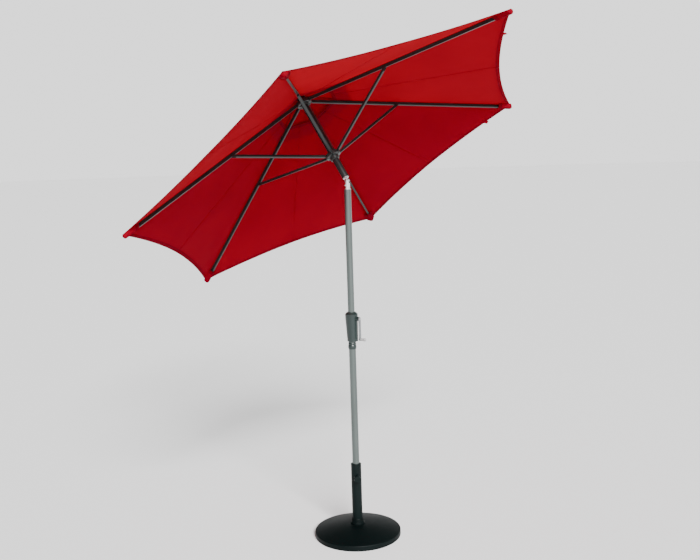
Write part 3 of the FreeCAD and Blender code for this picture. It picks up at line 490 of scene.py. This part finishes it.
def cloth_material(name, colour, through):
    """Woven polyester that lets some light through, with painted shade on its doubled hems and seams,
    which pass less light, and darkened stitching.
    """
    material, tree, shader = surface_of(name, colour, CLOTH_ROUGH)
    shader.inputs["Specular IOR Level"].default_value = CLOTH_SHINE
    make, link = tree.nodes.new, tree.links.new

    def maths(kind, *given):
        node = make("ShaderNodeMath")
        node.operation = kind
        for place, number in enumerate(given):
            if isinstance(number, (int, float)):
                node.inputs[place].default_value = number
            else:
                link(number, node.inputs[place])
        return node.outputs["Value"]

    def read(word):
        node = make("ShaderNodeAttribute")
        node.attribute_name = word
        return node.outputs["Fac"]

    def line_at(word, place):
        off_line = maths("ABSOLUTE", maths("SUBTRACT", read(word), place))
        return maths("LESS_THAN", off_line, STITCH_HALF)

    place = make("ShaderNodeTexCoord")
    cloud = make("ShaderNodeTexNoise")
    cloud.inputs["Scale"].default_value = CLOTH_CLOUDS
    cloud.inputs["Detail"].default_value = CLOTH_CLOUD_DETAIL
    threads = make("ShaderNodeTexNoise")
    threads.inputs["Scale"].default_value = THREADS
    for noise in (cloud, threads):
        link(place.outputs["Object"], noise.inputs["Vector"])
    shade = make("ShaderNodeMapRange")
    shade.inputs["To Min"].default_value = DARKEST
    shade.inputs["To Max"].default_value = LIGHTEST
    link(cloud.outputs["Fac"], shade.inputs["Value"])
    # Painted shade on the doubled hems and seams, where less light shines through the cloth.
    doubled = maths("MAXIMUM", maths("LESS_THAN", read("edge_gap"), DOUBLED_HEM),
                    maths("LESS_THAN", read("seam_gap"), DOUBLED_SEAM))
    dashes = maths("LESS_THAN", maths("PINGPONG", read("out_along"), STITCH_PITCH), STITCH_GAP)
    stitches = maths("MULTIPLY", dashes, maths("MAXIMUM", line_at("edge_gap", HEM_STITCHES),
                                               line_at("seam_gap", SEAM_STITCHES)))
    shade_and_stitches = maths("SUBTRACT", 1.0, maths("MULTIPLY", doubled, DOUBLED_SHADE))
    shade_and_stitches = maths("SUBTRACT", shade_and_stitches, maths("MULTIPLY", stitches, STITCH_DARKER))
    tint = make("ShaderNodeVectorMath")
    tint.operation = "SCALE"
    tint.inputs[0].default_value = colour
    link(maths("MULTIPLY", shade.outputs["Result"], shade_and_stitches), tint.inputs["Scale"])
    link(tint.outputs["Vector"], shader.inputs["Base Color"])
    pucker = maths("MULTIPLY",
                   maths("SINE", maths("MULTIPLY", read("out_along"), PUCKER_TURNS)),
                   maths("POWER", FADE_BASE, maths("MULTIPLY", read("seam_gap"), PUCKER_FADE)))
    relief = maths("ADD", threads.outputs["Fac"], maths("MULTIPLY", pucker, PUCKER_SHARE))
    bump = make("ShaderNodeBump")
    bump.inputs["Distance"].default_value = RELIEF_DEPTH
    bump.inputs["Strength"].default_value = BUMP_STRENGTH
    link(relief, bump.inputs["Height"])
    link(bump.outputs["Normal"], shader.inputs["Normal"])
    glow = make("ShaderNodeBsdfTranslucent")
    shine_through = make("ShaderNodeVectorMath")
    shine_through.operation = "MULTIPLY"
    shine_through.inputs[1].default_value = (CLOTH_GLOW, CLOTH_GLOW, CLOTH_GLOW)
    link(tint.outputs["Vector"], shine_through.inputs[0])
    link(shine_through.outputs["Vector"], glow.inputs["Color"])
    blend = make("ShaderNodeMixShader")
    blend.inputs["Fac"].default_value = through
    link(shader.outputs["BSDF"], blend.inputs[1])
    link(glow.outputs["BSDF"], blend.inputs[2])
    link(blend.outputs["Shader"], tree.nodes["Material Output"].inputs["Surface"])
    return material


RED, LIGHT_THROUGH = (0.25, 0.0002, 0.014), 0.5
red_cloth = cloth_material("red_cloth", RED, LIGHT_THROUGH)
for rib in RIBS:
    canopy = cloth_piece(f"canopy_{rib}", rib, straight_at(vent_radius), hem_at, cloth_peak, rib_slope,
                         PANEL_SAG, HEM_WIDE, ROWS_OUT, COLUMNS_ASIDE, lapped=True)
    canopy.data.materials.append(red_cloth)
    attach(canopy, f"rib_{rib}")
    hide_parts(f"gore_{rib}")
    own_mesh(canopy)

# ------------------------------------------------------------------ rib pockets
# A pocket of doubled cloth is sewn under each corner of the canopy.  The rib's capped end pushes
# into it and holds the cloth taut.

POCKET_LENGTH, POCKET_HALF_WIDTH, POCKET_DEPTH, POCKET_THICK = 0.088, 0.026, 0.0235, 0.0008
POCKET_PAST_TIP, POCKET_STEPS, POCKET_SIDES, FINER_AT_END = 0.002, 24, 12, 0.6
END_LENGTH, END_HALF_WIDTH, END_TAPER, END_DEPTH = 0.014, 0.0085, 1.1, 0.15
FLAT_SIDES, UNDER_CLOTH, NO_HEM, ROUND_PITCH = 0.27, 0.0003, 0.1, 0.003


def pocket_grid(rib, shrink):
    """The pocket's surface from its mouth to its end, moved in towards the rib by shrink."""
    grid = []
    for station in range(POCKET_STEPS + 1):
        share = (station / POCKET_STEPS) ** FINER_AT_END
        along = tip_radius - POCKET_LENGTH + (POCKET_LENGTH + POCKET_PAST_TIP - shrink) * share
        left = max(tip_radius + POCKET_PAST_TIP - along, 0)
        open_share = min(1, left / END_LENGTH)
        closing = math.sqrt(open_share * (2 - open_share))
        wide = min(POCKET_HALF_WIDTH, END_TAPER * left + END_HALF_WIDTH) - shrink
        deep = (POCKET_DEPTH - shrink) * (END_DEPTH + (1 - END_DEPTH) * closing)
        ring = []
        for step in range(-POCKET_SIDES, POCKET_SIDES + 1):
            turn = step / POCKET_SIDES
            across = wide * (FLAT_SIDES * turn + (1 - FLAT_SIDES) * turn ** 3)
            height = cloth_under(along, across, cloth_peak, rib_slope, PANEL_SAG)
            drop = UNDER_CLOTH + deep * (1 - turn ** 4)
            ring.append(to_row(rib, along, across, height - drop))
        grid.append(ring)
    return grid


for rib in RIBS:
    outer_skin = pocket_grid(rib, 0)
    far_from = [[NO_HEM] * len(ring) for ring in outer_skin]
    # The pocket's mouth is a hem, so near it the cloth gets the painted shade of doubled cloth and a
    # stitch line.
    mouth_gap = [[POCKET_LENGTH * (station / POCKET_STEPS) ** FINER_AT_END] * len(ring)
                 for station, ring in enumerate(outer_skin)]
    runs = [[step * ROUND_PITCH for step in range(len(ring))] for ring in outer_skin]
    pocket = closed_sheet(f"tip_pocket_{rib}", outer_skin, pocket_grid(rib, POCKET_THICK),
                          edge_gap=mouth_gap, seam_gap=far_from, out_along=runs)
    pocket.data.materials.append(red_cloth)
    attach(pocket, f"rib_{rib}")

# ------------------------------------------------------------------ tying straps
# Two short straps of the same cloth are sewn under the hem, near two of the ribs.  They tie the
# canopy round when it is folded.

STRAP_HALF_WIDTH, STRAP_LENGTH, STRAP_OVERLAP, STRAP_HANG = 0.010, 0.028, 0.016, 0.10
STRAP_UNDER, STRAP_OVER, STRAP_STEPS, STRAP_SIDES = 0.0022, 0.0006, 8, 3
STRAP_TURNS = {1: math.radians(9.7), 2: math.radians(7.0)}
for rib, angle in STRAP_TURNS.items():
    at_hem = hem_at(angle)
    lower, upper = [], []
    for step in range(STRAP_STEPS + 1):
        out = at_hem - STRAP_OVERLAP + STRAP_LENGTH * step / STRAP_STEPS
        rows_under, rows_over = [], []
        for side_step in range(-STRAP_SIDES, STRAP_SIDES + 1):
            offset = STRAP_HALF_WIDTH * side_step / STRAP_SIDES
            along = out * math.cos(angle) - offset * math.sin(angle)
            across = out * math.sin(angle) + offset * math.cos(angle)
            hang = STRAP_HANG * max(0, out - at_hem)
            height = cloth_under(along, across, cloth_peak, rib_slope, PANEL_SAG) - hang
            rows_under.append(to_row(rib, along, across, height - STRAP_UNDER))
            rows_over.append(to_row(rib, along, across, height - STRAP_OVER))
        lower.append(rows_under)
        upper.append(rows_over)
    level = [[NO_HEM] * len(row) for row in lower]
    strap = closed_sheet(f"strap_{rib}", lower, upper, edge_gap=level, seam_gap=level,
                         out_along=level)
    strap.data.materials.append(red_cloth)
    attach(strap, f"rib_{rib}")

# ------------------------------------------------------------------ vent cap
# A small second canopy of the same cloth covers the vent.  It is held at the peak under the
# finial and at its corners by the ribs, so its edges lift a little for the wind.

CAP_SAG, CAP_HEM, CAP_ROWS, CAP_COLUMNS, CAP_HELD_OUT_TO = 0.012, 0.012, 14, 12, 0.04
SAME_PLACE = 0.001
cap_points = np.array([flat_place(1, vertex.co) for vertex in nodes["vent_cap"].data.vertices])
cap_reach = np.hypot(cap_points[:, 0], cap_points[:, 1])
cap_radius, cap_hole = cap_points[:, 0].max(), cap_reach.min()
cap_corner = cap_points[cap_points[:, 0] > cap_radius - SAME_PLACE][:, 2].min()
cap_rim = cap_points[cap_reach < cap_hole + SAME_PLACE][:, 2].min()
cap_slope = (cap_rim - cap_corner) / (cap_radius - cap_hole)
for rib in RIBS:
    cap = cloth_piece(f"vent_cap_{rib}", rib, lambda angle: cap_hole, straight_at(cap_radius),
                      cap_rim + cap_hole * cap_slope, cap_slope, CAP_SAG, CAP_HEM, CAP_ROWS,
                      CAP_COLUMNS)
    cap.data.materials.append(red_cloth)
    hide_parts("vent_cap")
    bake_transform(cap)

# ------------------------------------------------------------------ lift cord
# The braided cord that the crank winds runs up inside the mast, over the pulley in the hub and
# down to the runner.  Its last run outside the pole grows longer as the runner comes down, but
# here it is built at one fixed length.

braid = grained("black_braid", (0.02, 0.02, 0.02), 0.8, grain=1500, depth=0.0006)
dress(braid, "lift_cord_mast", "lift_cord_pole")

CORD_RADIUS, CORD_RINGS, CORD_SIDES = 0.0015, 260, 12
STRANDS, STRAND_RISE, STRAND_LAY = 3, 0.10, 0.012
cord_points = [Vector(vertex.co) for vertex in nodes["lift_cord_fall"].data.vertices]
cord_low = min(point.dot(up_pole) for point in cord_points)
cord_high = max(point.dot(up_pole) for point in cord_points)
cord_line = sum(cord_points, Vector()) / len(cord_points)
cord_line -= up_pole * cord_line.dot(up_pole)
cord_side = up_pole.cross(Vector((0, 1, 0))).normalized()
cord_front = up_pole.cross(cord_side)
points, faces = [], []
for ring in range(CORD_RINGS + 1):
    height = cord_low + (cord_high - cord_low) * ring / CORD_RINGS
    twist = 2 * math.pi * (height - cord_low) / STRAND_LAY
    for step in range(CORD_SIDES):
        turn = 2 * math.pi * step / CORD_SIDES
        radius = CORD_RADIUS * (1 + STRAND_RISE * math.cos(STRANDS * turn + twist))
        spoke = cord_side * math.cos(turn) + cord_front * math.sin(turn)
        points.append(cord_line + up_pole * height + radius * spoke)
for ring in range(CORD_RINGS):
    for step in range(CORD_SIDES):
        corner = ring * CORD_SIDES + step
        beside = ring * CORD_SIDES + (step + 1) % CORD_SIDES
        faces.append((corner, beside, beside + CORD_SIDES, corner + CORD_SIDES))
faces.append(tuple(range(CORD_SIDES))[::-1])
faces.append(tuple(CORD_RINGS * CORD_SIDES + step for step in range(CORD_SIDES)))
lift_cord = new_mesh("lift_cord_run", points, faces)
lift_cord.data.materials.append(braid)
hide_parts("lift_cord_fall")
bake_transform(lift_cord)
